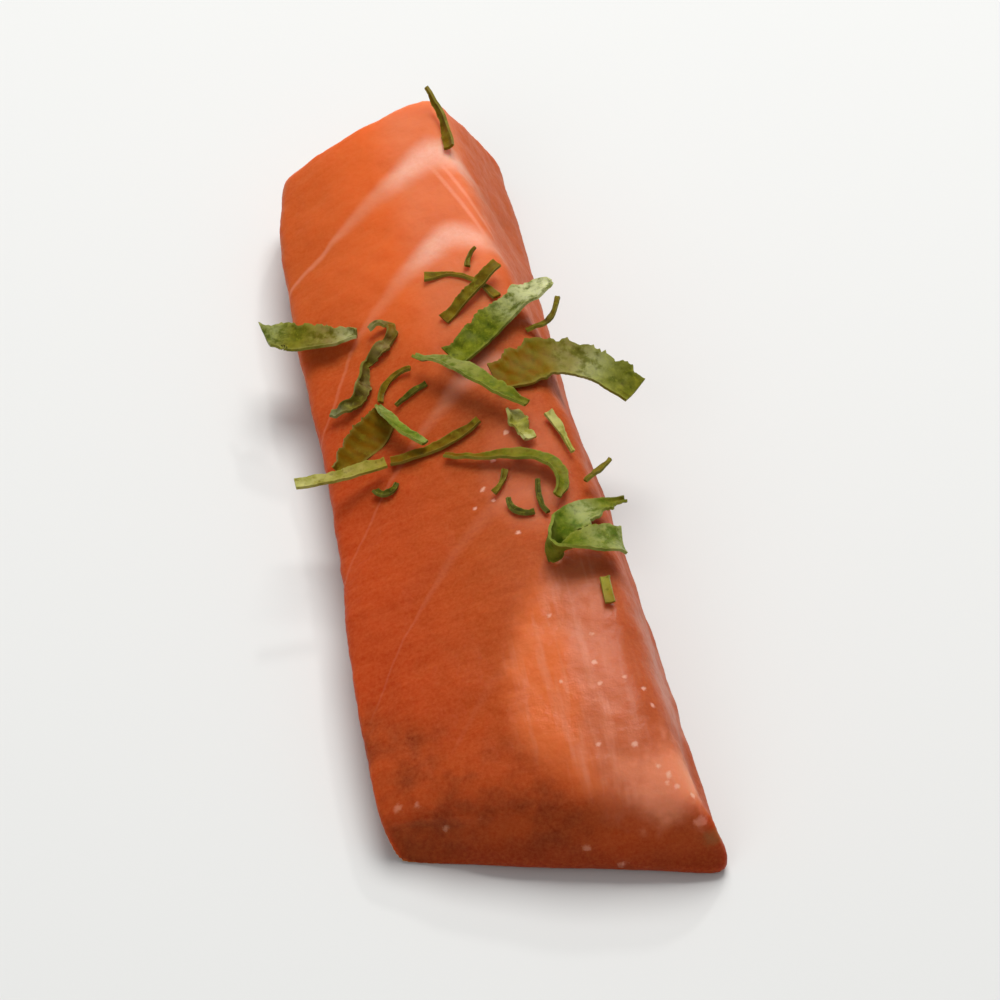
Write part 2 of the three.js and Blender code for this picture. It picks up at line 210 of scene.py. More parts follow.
def finish_modifier(piece, kind, **settings):
    """Puts a modifier on a piece and applies it."""
    only(piece)
    bpy.ops.object.modifier_add(type=kind)
    modifier = piece.modifiers[-1]
    for name, value in settings.items():
        setattr(modifier, name, value)
    bpy.ops.object.modifier_apply(modifier=modifier.name)


def pick(piece, wanted):
    """Selects the corners of a piece in edit mode that a test picks by their place."""
    mesh = bmesh.from_edit_mesh(piece.data)
    for corner in mesh.verts:
        corner.select_set(bool(wanted(corner.co)))
    mesh.select_flush_mode()
    bmesh.update_edit_mesh(piece.data)


def nearest(stops, value):
    return min(range(len(stops)), key=lambda n: abs(stops[n] - value))


# The slice.


def block_out_slice():
    """A block cut into cells like a loaf, with each corner then pulled to its place."""
    low = Vector((-0.5 * block_width, -0.5 * slice_length, 0)) * MM
    size = Vector((block_width, slice_length, block_height)) * MM
    bpy.ops.object.select_all(action="DESELECT")
    bpy.ops.mesh.primitive_cube_add(size=1, location=low + 0.5 * size, scale=size)
    block = bpy.context.object
    block.name = "salmon_slice"
    bpy.ops.object.transform_apply(location=True, rotation=True, scale=True)
    bpy.ops.object.mode_set(mode="EDIT")
    for axis, stops in enumerate((foot_stops, rows, layers)):
        across = Vector([float(n == axis) for n in range(3)])
        for stop in stops[1:-1]:
            bpy.ops.mesh.select_all(action="SELECT")
            bpy.ops.mesh.bisect(plane_co=low + stop * size[axis] * across, plane_no=across)
    mesh = bmesh.from_edit_mesh(block.data)
    moves = []
    for corner in mesh.verts:
        share = [(corner.co[n] - low[n]) / size[n] for n in range(3)]
        place = [nearest(stops, part) for stops, part in zip((foot_stops, rows, layers), share)]
        moves.append(slice_corner(*place) - corner.co)
    for number, move in enumerate(moves):
        mesh = bmesh.from_edit_mesh(block.data)
        for corner in mesh.verts:
            corner.select_set(corner.index == number)
        mesh.select_flush_mode()
        bpy.ops.transform.translate(value=move)
    bpy.ops.mesh.select_all(action="SELECT")
    bpy.ops.mesh.normals_make_consistent(inside=False)
    bpy.ops.object.mode_set(mode="OBJECT")
    return block


def set_camera():
    """A camera that sees the slice as the photograph does."""
    back = Vector((
        math.sin(view_turn) * math.cos(view_height), -math.cos(view_turn) * math.cos(view_height),
        math.sin(view_height)))
    right = Vector((math.cos(view_turn), math.sin(view_turn), 0))
    up = back.cross(right)
    bpy.ops.object.select_all(action="DESELECT")
    bpy.ops.object.camera_add()
    camera = bpy.context.object
    camera.name = "camera"
    turned = Matrix((right, up, back)).transposed().to_4x4()
    camera.matrix_world = Matrix.Translation(camera_target + view_distance * back) @ turned
    camera.data.lens = view_lens
    camera.data.clip_start = nearest_seen
    bpy.context.scene.camera = camera


# Colours and materials.


MATH, VECTOR, RANGE = "ShaderNodeMath", "ShaderNodeVectorMath", "ShaderNodeMapRange"
NOISE, MIX = "ShaderNodeTexNoise", "ShaderNodeMix"
times = dict(operation="MULTIPLY")
times_plus = dict(operation="MULTIPLY_ADD")
soft = dict(interpolation_type="SMOOTHSTEP")
colours = dict(data_type="RGBA")

# Sockets go by name or by number. Sums take 0, 1 and 2. A range reads 0 between the values at 1
# and 2 and gives those between 3 and 4, or 0 to 1. A colour mix takes its share at 0 and its two
# colours here.
UNDER, OVER = 6, 7


def node(tree, kind, links=(), output=None, **settings):
    """Adds a node with its settings and its sockets' values or links. Gives the named output, or
    else the first."""
    made = tree.nodes.new(kind)
    for name, value in settings.items():
        setattr(made, name, value)
    for socket, value in dict(links).items():
        if isinstance(value, bpy.types.NodeSocket):
            tree.links.new(value, made.inputs[socket])
        else:
            made.inputs[socket].default_value = value
    outputs = [socket for socket in made.outputs if socket.enabled]
    named = [socket for socket in outputs if socket.name == output]
    return (named or outputs or [made])[0]


def paint(code):
    """An sRGB hex colour as linear red, green, blue and alpha."""
    parts = [int(code[n:n + 2], 16) / 255 for n in (1, 3, 5)]
    return [
        part / 12.92 if part <= 0.04045 else ((part + 0.055) / 1.055) ** 2.4 for part in parts
    ] + [1]


# The sheets of fat between the flakes of muscle are cones round a line just below the ridge, so
# each shows on the cut faces as a chevron that points to the far end. Each one has the place of
# its point along the slice, its width there, and how plain it is at its point and in its arms.
flake_axis = Vector((1.9, 0, 10))
cone_slope = 0.58
cone_bend = 0.04
point_rounding = 0.15
sheet_shift = 0.65
near_side_fade = 0.75
fat_sheets = [
    (36.0, 1.2, 0.4, 0.2),
    (26.7, 1.9, 0.9, 0.42),
    (18.6, 1.6, 0.85, 0.24),
    (6.4, 1.4, 0.42, 0.2),
    (-5.0, 1.3, 0.12, 0.16),
    (-16.0, 1.2, 0.08, 0.08),
    (-27.0, 1.2, 0.06, 0.06),
]


def flesh_pattern(tree, place):
    """The muscle's own coordinates, from a place in millimetres, for the relief and the colour."""
    x, y, z = (node(tree, "ShaderNodeSeparateXYZ", {0: place}, output=axis) for axis in "XYZ")
    from_axis = node(tree, VECTOR, {0: place, 1: flake_axis}, operation="SUBTRACT")
    from_axis = node(tree, VECTOR, {0: from_axis, 1: (1, 0, 1)}, **times)
    squared = node(tree, VECTOR, {0: from_axis, 1: from_axis}, operation="DOT_PRODUCT")
    rounded = node(tree, MATH, {0: squared, 1: point_rounding})
    reach = node(tree, MATH, {0: rounded}, operation="SQRT")
    bend = node(tree, RANGE, {0: y, 1: 18, 2: 8, 3: 0, 4: cone_bend})

    # The sheets wander over 8 mm and tremble over 2 mm.
    slow = node(tree, NOISE, {"Vector": place, "Scale": 0.13, "Detail": 1})
    fine = node(tree, NOISE, {"Vector": place, "Scale": 0.55, "Detail": 2})
    wander = node(tree, MATH, {0: fine, 1: 0.5, 2: y}, **times_plus)
    wander = node(tree, MATH, {0: slow, 1: 0.8, 2: wander}, **times_plus)
    swept = node(tree, MATH, {0: reach, 1: bend, 2: cone_slope}, **times_plus)
    cone = node(tree, MATH, {0: reach, 1: swept, 2: wander}, **times_plus)
    narrowing = node(tree, RANGE, {0: reach, 1: 1.2, 2: 9, 3: 1, 4: 0.17})
    fat = gap = None
    for point, width, plain, plain_arm in fat_sheets:
        beyond = node(tree, MATH, {0: cone, 1: point + sheet_shift}, operation="SUBTRACT")
        behind = node(tree, MATH, {0: beyond, 1: -near_side_fade}, **times)
        distance = node(tree, MATH, {0: beyond, 1: behind}, operation="MAXIMUM")
        half_width = node(tree, MATH, {0: narrowing, 1: width}, **times)
        distance = node(tree, MATH, {0: distance, 1: half_width}, operation="DIVIDE")
        plainness = node(tree, RANGE, {0: reach, 1: 1.5, 2: 6, 3: plain, 4: plain_arm}, **soft)
        line = node(tree, RANGE, {0: distance, 1: 0.05, 2: 1.0, 3: plainness, 4: 0}, **soft)
        apart = node(tree, MATH, {0: beyond}, operation="ABSOLUTE")
        fat = line if fat is None else node(tree, MATH, {0: fat, 1: line}, operation="MAXIMUM")
        gap = apart if gap is None else node(tree, MATH, {0: gap, 1: apart}, operation="MINIMUM")
    return dict(x=x, y=y, z=z, reach=reach, fat=fat, gap=gap)


# The relief of the cut flesh, in millimetres: a flake is full at its swell's reach from the fat.
# The relief starts just above the flat underside.
swell_reach = 3.2
fat_sinks = 0.07
flake_swells = 0.06
wave_height = 0.4
lump_height = 0.1
relief_starts = (0.1, 1.2)


def relief_of_flesh():
    """Geometry nodes that swell each flake a little and sink the fat between, as cut flesh does."""
    tree = bpy.data.node_groups.new("flesh relief", "GeometryNodeTree")
    tree.interface.new_socket("Geometry", in_out="INPUT", socket_type="NodeSocketGeometry")
    tree.interface.new_socket("Geometry", in_out="OUTPUT", socket_type="NodeSocketGeometry")
    surface = node(tree, "NodeGroupInput")
    place = node(tree, "GeometryNodeInputPosition")
    place = node(tree, VECTOR, {0: place, 1: (1 / MM,) * 3}, **times)
    flesh = flesh_pattern(tree, place)
    swell = node(tree, RANGE, {
        0: flesh["gap"], 1: 0, 2: swell_reach, 3: -fat_sinks, 4: flake_swells}, **soft)

    # Soft flesh gives under the knife in waves 6 mm long and lumps of 1.3 mm.
    waves = node(tree, NOISE, {"Vector": place, "Scale": 0.16, "Detail": 2})
    lumps = node(tree, NOISE, {"Vector": place, "Scale": 0.75, "Detail": 3, "Roughness": 0.6})
    waves = node(tree, RANGE, {0: waves, 1: 0, 2: 1, 3: -wave_height, 4: wave_height})
    lumps = node(tree, RANGE, {0: lumps, 1: 0, 2: 1, 3: -lump_height, 4: lump_height})
    height = node(tree, MATH, {0: swell, 1: node(tree, MATH, {0: waves, 1: lumps})})
    above = node(tree, RANGE, {
        0: flesh["z"], 1: relief_starts[0], 2: relief_starts[1], 3: 0, 4: MM}, **soft)
    offset = node(tree, VECTOR, {
        0: node(tree, "GeometryNodeInputNormal"),
        "Scale": node(tree, MATH, {0: height, 1: above}, **times),
    }, operation="SCALE")
    moved = node(tree, "GeometryNodeSetPosition", {"Geometry": surface, "Offset": offset})
    node(tree, "NodeGroupOutput", {0: moved})
    return tree


def new_material(name):
    material = bpy.data.materials.new(name)
    material.use_nodes = True
    material.node_tree.nodes.clear()
    return material, material.node_tree


def own_place(tree):
    """A place on the piece itself, in millimetres."""
    on_piece = node(tree, "ShaderNodeTexCoord", output="Object")
    return node(tree, VECTOR, {0: on_piece, 1: (1 / MM,) * 3}, **times)


# The flesh's fine patterns: scale to a millimetre, detail, roughness, and the noise that counts
# as none and as full. The mottle is 2 to 5 mm wide, the grain 0.5 and the specks 0.25.
flesh_noises = dict(
    mottle=(0.22, 3, 0.6, 0.25, 0.75),
    grain=(1.9, 4, 0.62, 0.2, 0.8),
    specks=(4.2, 2, 0.7, 0.3, 0.7),
)

# The soft oval spots on the ridge: their middles from above and their scales along X and Y.
blush_spot = ((3.3, -4.4, 0), (0.29, 0.17, 0))
hump_spot = ((4.7, -21.1, 0), (0.155, 0.099, 0))

# Beads of the wet film along the ridge, each with a painted glint: their places from above and
# their sizes.
glint_beads = [
    (2.4, -16.3, 0.16), (4.8, -18.4, 0.15), (4.5, -20.6, 0.18), (4.5, -22.2, 0.2),
    (6.2, -22.0, 0.17), (7.2, -22.9, 0.18), (7.6, -24.1, 0.15), (3.7, -26.2, 0.2),
    (5.9, -26.7, 0.22), (7.1, -28.1, 0.16), (7.7, -28.7, 0.22), (8.1, -29.4, 0.2),
    (7.5, -29.2, 0.15), (9.0, -29.8, 0.16), (2.2, -21.4, 0.13), (2.5, -0.7, 0.24),
    (1.3, -2.6, 0.18), (0.2, -4.6, 0.18), (0.7, -5.8, 0.15), (1.9, -7.0, 0.13),
    (1.7, -9.3, 0.16), (-0.5, -5.9, 0.14), (2.9, -2.4, 0.16),
]

# Bits caught in the near end: their places, sizes and colours. The last is its dried corner.
caught_bits = [
    ((-9.2, -26.1, 3.6), 0.35, "#cc8a6c"), ((-8.0, -26.4, 3.9), 0.3, "#cc8a6c"),
    ((-6.4, -27.7, 2.7), 0.3, "#cc8a6c"), ((-4.2, -28.0, 3.8), 0.25, "#c47a58"),
    ((2.1, -30.7, 2.6), 0.3, "#d08c70"), ((4.3, -31.2, 1.3), 0.4, "#d8a088"),
    ((5.8, -31.4, 1.1), 0.35, "#cc8a6c"), ((6.3, -30.8, 2.8), 0.25, "#c47a58"),
    ((9.3, -30.9, 4.0), 0.5, "#dc9880"), ((10.0, -31.3, 2.8), 0.8, "#88643a"),
]

# The pinkish lip at the right of the near end, partly its own tone and partly painted light; the
# way along which that end darkens in painted shade; and the two thin pale lines beside the ridge at
# the far end, by how far out they lie.
lip_middle = (7.5, -28.9, 5.7)
near_shade_slant = (0.9, 1, 0)
thin_lines = (10.05, 10.75)
out_from_ridge = (0.943, 0.334, 0)


def face_colour(tree, flesh, patterns):
    """Bright orange at the far end, deeper in the middle, partly as painted shade, and paler over
    the ridge as a painted sheen.
    """
    outer = node(tree, RANGE, {0: flesh["reach"], 1: 1, 2: 12}, **soft)
    # Paler over the ridge: a painted sheen.
    ridge_sheen = node(tree, RANGE, {0: flesh["reach"], 1: 4.6, 2: 1.5, 3: 0, 4: 0.55}, **soft)
    far = node(tree, MIX, {0: outer, UNDER: paint("#e4682e"), OVER: paint("#b8501c")}, **colours)
    far = node(tree, MIX, {0: ridge_sheen, UNDER: far, OVER: paint("#d88664")}, **colours)
    middle = node(tree, MIX, {
        0: outer, UNDER: paint("#923c12"), OVER: paint("#a22e08")}, **colours)
    # Towards the near end the flesh deepens: partly its own deeper red, partly painted shade.
    from_far = node(tree, MATH, {0: patterns["mottle"], 1: 3, 2: flesh["y"]}, **times_plus)
    deepening_and_shade = node(tree, RANGE, {0: from_far, 1: 20, 2: 2, 3: 0, 4: 0.88}, **soft)
    colour = node(tree, MIX, {0: deepening_and_shade, UNDER: far, OVER: middle}, **colours)
    for pattern, strength, tone in (("mottle", 0.26, "#c24c16"), ("fibres", 0.2, "#d06434")):
        share = node(tree, MATH, {0: patterns[pattern], 1: strength}, **times)
        colour = node(tree, MIX, {0: share, UNDER: colour, OVER: paint(tone)}, **colours)
    return colour


def soft_spot(tree, place, mottle, middle, scale):
    """How far a place is inside an oval spot with an uneven, soft edge."""
    off = node(tree, VECTOR, {0: place, 1: middle}, operation="SUBTRACT")
    off = node(tree, VECTOR, {0: off, 1: scale}, **times)
    off = node(tree, VECTOR, {0: off}, operation="LENGTH")
    off = node(tree, MATH, {0: mottle, 1: 0.3, 2: off}, **times_plus)
    return node(tree, RANGE, {0: off, 1: 1.17, 2: 0.82}, **soft)


def hump_colour(tree, colour, hump, place, flesh, patterns):
    """The swollen part near the ridge: an orange lobe, then a pinkish painted sheen on its right,
    with streaks along it.
    """
    # The pinkish right side of the hump is a painted sheen.
    pinkish_sheen = node(tree, MATH, {0: patterns["mottle"], 1: 1.2, 2: flesh["x"]}, **times_plus)
    pinkish_sheen = node(tree, RANGE, {0: pinkish_sheen, 1: 2.6, 2: 4.6}, **soft)
    swollen = node(tree, MIX, {
        0: pinkish_sheen, UNDER: paint("#da6e38"), OVER: paint("#c66c48")}, **colours)
    share = node(tree, MATH, {0: hump, 1: 0.88}, **times)
    colour = node(tree, MIX, {0: share, UNDER: colour, OVER: swollen}, **colours)

    # The streaks are 0.7 mm wide and 8 mm long.
    lengthwise = node(tree, "ShaderNodeMapping", {"Vector": place, "Scale": (1.5, 0.13, 0.6)})
    streaks = node(tree, NOISE, {"Vector": lengthwise, "Scale": 1, "Detail": 2, "Roughness": 0.55})
    streaks = node(tree, RANGE, {0: streaks, 1: 0.5, 2: 0.72, 3: 0, 4: 0.42})
    share = node(tree, MATH, {0: streaks, 1: hump}, **times)
    return node(tree, MIX, {0: share, UNDER: colour, OVER: paint("#dd9478")}, **colours)


def fat_colour(tree, colour, place, flesh):
    """The pale lines of fat, and two thin pale lines beside the ridge at the far end."""
    fading = node(tree, RANGE, {0: flesh["y"], 1: 12, 2: -4, 3: 0.9, 4: 0.55})
    share = node(tree, MATH, {0: flesh["fat"], 1: fading}, **times)
    near_ridge = node(tree, RANGE, {0: flesh["reach"], 1: 4.5, 2: 1.5}, **soft)
    fat = node(tree, MIX, {
        0: near_ridge, UNDER: paint("#de9a7c"), OVER: paint("#eeb6a0")}, **colours)
    colour = node(tree, MIX, {0: share, UNDER: colour, OVER: fat}, **colours)
    beside = node(tree, VECTOR, {0: place, 1: out_from_ridge}, operation="DOT_PRODUCT")
    starts = node(tree, RANGE, {0: flesh["y"], 1: 15.5, 2: 18, 3: 0, 4: 1}, **soft)
    ends = node(tree, RANGE, {0: flesh["y"], 1: 25.5, 2: 23.5, 3: 0, 4: 0.4}, **soft)
    there = node(tree, MATH, {0: starts, 1: ends}, **times)
    for line_place in thin_lines:
        off = node(tree, MATH, {0: beside, 1: line_place}, operation="SUBTRACT")
        off = node(tree, MATH, {0: off}, operation="ABSOLUTE")
        share = node(tree, RANGE, {0: off, 1: 0.22, 2: 0.04}, **soft)
        share = node(tree, MATH, {0: share, 1: there}, **times)
        colour = node(tree, MIX, {0: share, UNDER: colour, OVER: paint("#eca58a")}, **colours)
    return colour


def near_end_colour(tree, colour, place, flesh, patterns):
    """The near end: dark and soft, partly deeper flesh and partly painted shade, blotched, with
    small pale bits and a pinkish lip.
    """
    grain = patterns["grain"]
    # Painted shade over the flesh's own deeper red: it deepens along a slant towards the near end,
    # and over the low part of the end face.
    to_near = node(tree, VECTOR, {0: place, 1: near_shade_slant}, operation="DOT_PRODUCT")
    to_near = node(tree, MATH, {0: patterns["mottle"], 1: 3, 2: to_near}, **times_plus)
    dark = node(tree, RANGE, {0: to_near, 1: -24, 2: -27.6, 3: 0, 4: 0.95}, **soft)
    low = node(tree, RANGE, {0: flesh["z"], 1: 3.8, 2: 1.0}, **soft)
    end_only = node(tree, RANGE, {0: flesh["y"], 1: -27.5, 2: -29.5}, **soft)
    under = node(tree, MATH, {0: low, 1: end_only}, **times)

    # Blotches about 2.4 mm wide in that dark: partly deeper flesh, partly painted shade.
    blotches = node(tree, NOISE, {"Vector": place, "Scale": 0.42, "Detail": 3, "Roughness": 0.5})
    blotches = node(tree, RANGE, {0: blotches, 1: 0.3, 2: 0.66}, **soft)
    deep_end_and_shade = node(tree, MIX, {
        0: blotches, UNDER: paint("#74240a"), OVER: paint("#a83e12")}, **colours)
    share = node(tree, MATH, {0: grain, 1: 0.26}, **times)
    deep_end_and_shade = node(tree, MIX, {0: share, UNDER: deep_end_and_shade, OVER: paint("#ae5a2c")}, **colours)
    deep_end_and_shade = node(tree, MIX, {0: under, UNDER: deep_end_and_shade, OVER: paint("#882a0a")}, **colours)
    share = node(tree, MATH, {0: dark, 1: under}, operation="MAXIMUM")
    colour = node(tree, MIX, {0: share, UNDER: colour, OVER: deep_end_and_shade}, **colours)
    for bit_place, size, tone in caught_bits:
        off = node(tree, VECTOR, {0: place, 1: bit_place}, operation="DISTANCE")
        off = node(tree, MATH, {0: grain, 1: 0.6, 2: off}, **times_plus)
        share = node(tree, RANGE, {
            0: off, 1: size + 0.35, 2: 0.5 * size + 0.2, 3: 0, 4: 0.65}, **soft)
        colour = node(tree, MIX, {0: share, UNDER: colour, OVER: paint(tone)}, **colours)
    # The pinkish lip: partly its own tone, partly painted light where the end faces away from the
    # lamps.
    off = node(tree, VECTOR, {0: place, 1: lip_middle}, operation="DISTANCE")
    off = node(tree, MATH, {0: blotches, 1: 1.2, 2: off}, **times_plus)
    off = node(tree, MATH, {0: grain, 1: 0.5, 2: off}, **times_plus)
    share = node(tree, RANGE, {0: off, 1: 4.6, 2: 2.5, 3: 0, 4: 0.9}, **soft)
    return node(tree, MIX, {0: share, UNDER: colour, OVER: paint("#e8926e")}, **colours)


def film_beads_and_glints(tree, place):
    """Where the wet film has gathered in beads, for its relief and for their painted glints, each
    with an edge ragged over 0.3 mm.
    """
    from_above = node(tree, VECTOR, {0: place, 1: (1, 1, 0)}, **times)
    ragged = node(tree, NOISE, {"Vector": place, "Scale": 3.6, "Detail": 1})
    ragged = node(tree, RANGE, {0: ragged, 1: 0.3, 2: 0.7})
    beads_and_glints = None
    for bead_x, bead_y, size in glint_beads:
        off = node(tree, VECTOR, {0: from_above, 1: (bead_x, bead_y, 0)}, operation="DISTANCE")
        off = node(tree, MATH, {0: ragged, 1: 0.16, 2: off}, **times_plus)
        bead = node(tree, RANGE, {0: off, 1: size + 0.13, 2: 0.6 * size}, **soft)
        if beads_and_glints is not None:
            bead = node(tree, MATH, {0: beads_and_glints, 1: bead}, operation="MAXIMUM")
        beads_and_glints = bead
    return beads_and_glints


def raw_salmon():
    """Raw salmon, cut with one pull of a sharp knife.

    Translucent orange flesh that is paler along the ridge, as a painted sheen, and redder towards
    the near end, partly as painted shade, with soft pale lines of fat, fine fibres across the broad
    face and a thin wet film gathered in beads that sparkle, partly with painted glints.
    """
    material, tree = new_material("raw_salmon")
    place = own_place(tree)
    flesh = flesh_pattern(tree, place)
    patterns = {}
    for name, (scale, detail, roughness, none, full) in flesh_noises.items():
        noise = node(tree, NOISE, {
            "Vector": place, "Scale": scale, "Detail": detail, "Roughness": roughness})
        patterns[name] = node(tree, RANGE, {0: noise, 1: none, 2: full})
    mottle, grain, specks = (patterns[name] for name in ("mottle", "grain", "specks"))

    # Fibres lie across the broad face, about half a millimetre apart.
    across = node(tree, "ShaderNodeMapping", {"Vector": place, "Scale": (0.12, 1.9, 0.5)})
    fibres = node(tree, NOISE, {"Vector": across, "Scale": 1, "Detail": 2, "Roughness": 0.6})
    fibres = patterns["fibres"] = node(tree, RANGE, {0: fibres, 1: 0.3, 2: 0.7})

    colour = face_colour(tree, flesh, patterns)
    blush = soft_spot(tree, place, mottle, *blush_spot)
    share = node(tree, MATH, {0: blush, 1: 0.55}, **times)
    colour = node(tree, MIX, {0: share, UNDER: colour, OVER: paint("#c46848")}, **colours)
    hump = soft_spot(tree, place, mottle, *hump_spot)
    colour = hump_colour(tree, colour, hump, place, flesh, patterns)
    colour = fat_colour(tree, colour, place, flesh)

    # The steep side right of the ridge is painted tan and duller, as painted shade.
    steep_side_shade = node(tree, MATH, {0: flesh["y"], 1: 0.035, 2: flesh["x"]}, **times_plus)
    steep_side_shade = node(tree, RANGE, {0: steep_side_shade, 1: 4.2, 2: 6.6, 3: 0, 4: 0.7}, **soft)
    colour = node(tree, MIX, {0: steep_side_shade, UNDER: colour, OVER: paint("#a2441c")}, **colours)
    colour = near_end_colour(tree, colour, place, flesh, patterns)

    # Fine freckles of tissue lie over all of it, and over them the painted glints of the film's
    # beads.
    beads_and_glints = film_beads_and_glints(tree, place)
    for share, strength, tone in ((specks, 0.2, "#dd7a44"), (beads_and_glints, 0.62, "#f0c0a8")):
        share = node(tree, MATH, {0: share, 1: strength}, **times)
        colour = node(tree, MIX, {0: share, UNDER: colour, OVER: paint(tone)}, **colours)

    # The fibres show most on the broad face, away from the ridge. The film has its own relief, a
    # millimetre wide. Moist muscle has an IOR of about 1.38, and its juice that of water, 1.34.
    fibrous = node(tree, RANGE, {0: flesh["x"], 1: 2, 2: -6, 3: 0.1, 4: 0.4})
    height = node(tree, MATH, {0: fibres, 1: fibrous, 2: grain}, **times_plus)
    film = node(tree, NOISE, {"Vector": place, "Scale": 0.9, "Detail": 3, "Roughness": 0.55})
    film = node(tree, MATH, {0: grain, 1: film})
    film = node(tree, MATH, {0: beads_and_glints, 1: 2, 2: film}, **times_plus)
    shader = node(tree, "ShaderNodeBsdfPrincipled", {
        "Base Color": colour,
        "Roughness": node(tree, RANGE, {0: grain, 1: 0, 2: 1, 3: 0.42, 4: 0.58}),
        "Specular IOR Level": 0.1,
        "Specular Tint": paint("#ffb488"),
        "IOR": 1.38,
        "Subsurface Weight": 0.75,
        "Subsurface Radius": (1.0, 0.34, 0.18),
        "Subsurface Scale": 2.2 * MM,
        "Coat Weight": node(tree, RANGE, {0: hump, 1: 0, 2: 1, 3: 0.05, 4: 0.34}),
        "Coat Roughness": 0.14,
        "Coat IOR": 1.34,
        "Normal": node(tree, "ShaderNodeBump", {
            "Strength": 0.5, "Distance": 0.05 * MM, "Height": height}),
        "Coat Normal": node(tree, "ShaderNodeBump", {
            "Strength": 0.6, "Distance": 0.09 * MM, "Height": film}),
    })
    node(tree, "ShaderNodeOutputMaterial", {"Surface": shader})
    return material


def pale_board():
    """A plain painted tabletop, pale and matt, so that the food stands out."""
    material, tree = new_material("pale_painted_board")
    shader = node(tree, "ShaderNodeBsdfPrincipled", {
        "Base Color": paint("#dfdfdc"), "Roughness": 0.8})
    node(tree, "ShaderNodeOutputMaterial", {"Surface": shader})
    return material
